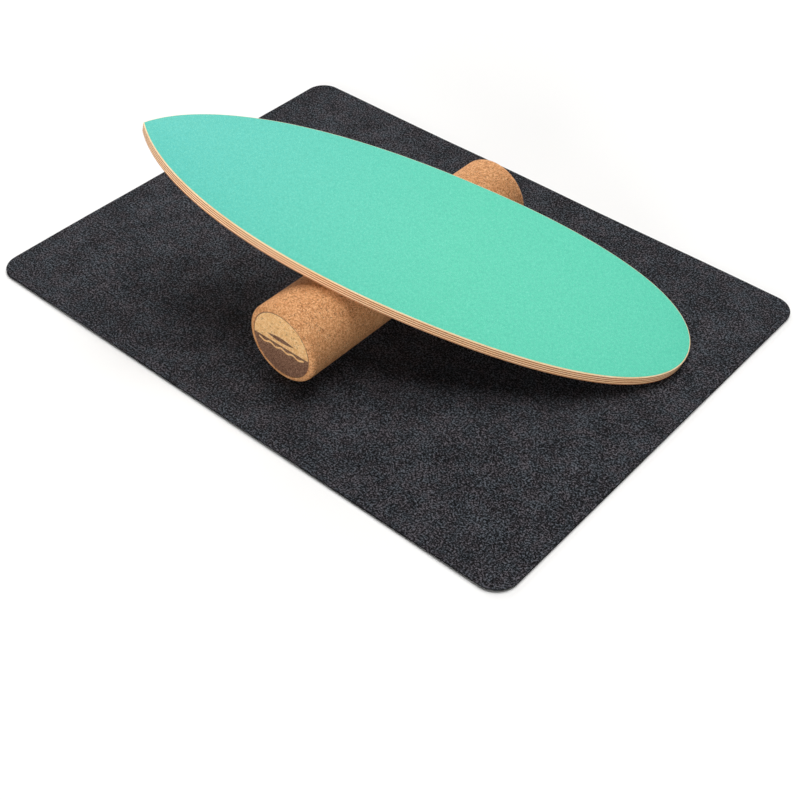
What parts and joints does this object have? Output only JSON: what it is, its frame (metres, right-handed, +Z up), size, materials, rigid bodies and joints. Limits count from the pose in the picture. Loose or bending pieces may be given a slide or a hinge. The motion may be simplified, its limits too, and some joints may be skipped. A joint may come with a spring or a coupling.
{
  "type": "balance board",
  "caption": "Surf-shaped plywood balance board lying across a cork roller, on a felt mat with rounded corners and a grip layer underneath.",
  "frame": {"origin": "middle of the mat's underside, on the floor", "axes": "+Z up; +X along the mat's length, towards the deck's tail; +Y along the roller's axis"},
  "size_m": [0.914, 0.686, 0.2365],
  "materials": {
    "grip_dots": "soft printed vinyl, light grey",
    "felt": "needled felt, charcoal with lighter fibres",
    "core_board": "wound paper board",
    "cork": "fine-grain cork composite, sanded",
    "cork_cap": "pale cork with a dark lower part and a plain wave line",
    "pine": "sawn pine",
    "ply_light": "light veneer, satin lacquer",
    "ply_dark": "cross-grain veneer, satin lacquer",
    "top_sheet": "turquoise sheet with a fine non-slip grain",
    "beech": "planed beech, satin",
    "zinc_steel": "zinc-plated steel"
  },
  "bodies": {
    "mat": {"mat_grip_layer": "grip_dots", "mat_felt": "felt"},
    "roller_core": {"roller_core_tube": "core_board"},
    "roller_shell": {"roller_cork_sleeve": "cork", "roller_cap_front": "cork_cap", "roller_cap_back": "cork_cap"},
    "tilt_carrier": {"roller_plug_front": "pine", "roller_plug_back": "pine"},
    "deck": {"deck_ply_1": "ply_light", "deck_ply_2": "ply_dark", "deck_ply_3": "ply_light", "deck_ply_4": "ply_dark", "deck_ply_5": "ply_light", "deck_ply_6": "ply_dark", "deck_ply_7": "ply_light", "deck_ply_8": "ply_dark", "deck_ply_9": "ply_light", "deck_top_sheet": "top_sheet", "stop_batten_nose": "beech", "stop_batten_tail": "beech", "stop_screw_nose_1": "zinc_steel", "stop_screw_nose_2": "zinc_steel", "stop_screw_nose_3": "zinc_steel", "stop_screw_tail_1": "zinc_steel", "stop_screw_tail_2": "zinc_steel", "stop_screw_tail_3": "zinc_steel"}
  },
  "joints": [
    {"name": "roller_travel", "type": "slide", "parent": "mat", "child": "roller_core", "axis": [1, 0, 0], "range_m": [-0.12, 0]},
    {"name": "roller_spin", "type": "hinge", "parent": "roller_core", "child": "roller_shell", "pos_m": [0.0158, -0.0165, 0.0625], "axis": [0, 1, 0], "range_deg": [-120, 0]},
    {"name": "deck_tilt", "type": "hinge", "parent": "roller_core", "child": "tilt_carrier", "pos_m": [0.0158, -0.0165, 0.0625], "axis": [0, -1, 0], "range_deg": [0, 31.4]},
    {"name": "deck_travel", "type": "slide", "parent": "tilt_carrier", "child": "deck", "axis": [0.9553, 0, -0.2955], "range_m": [-0.12, 0]}
  ],
  "couplings": [
    {"joint": "roller_spin", "follows": "roller_travel", "rad_per_m": 17.391},
    {"joint": "deck_travel", "follows": "roller_travel", "ratio": 1}
  ]
}
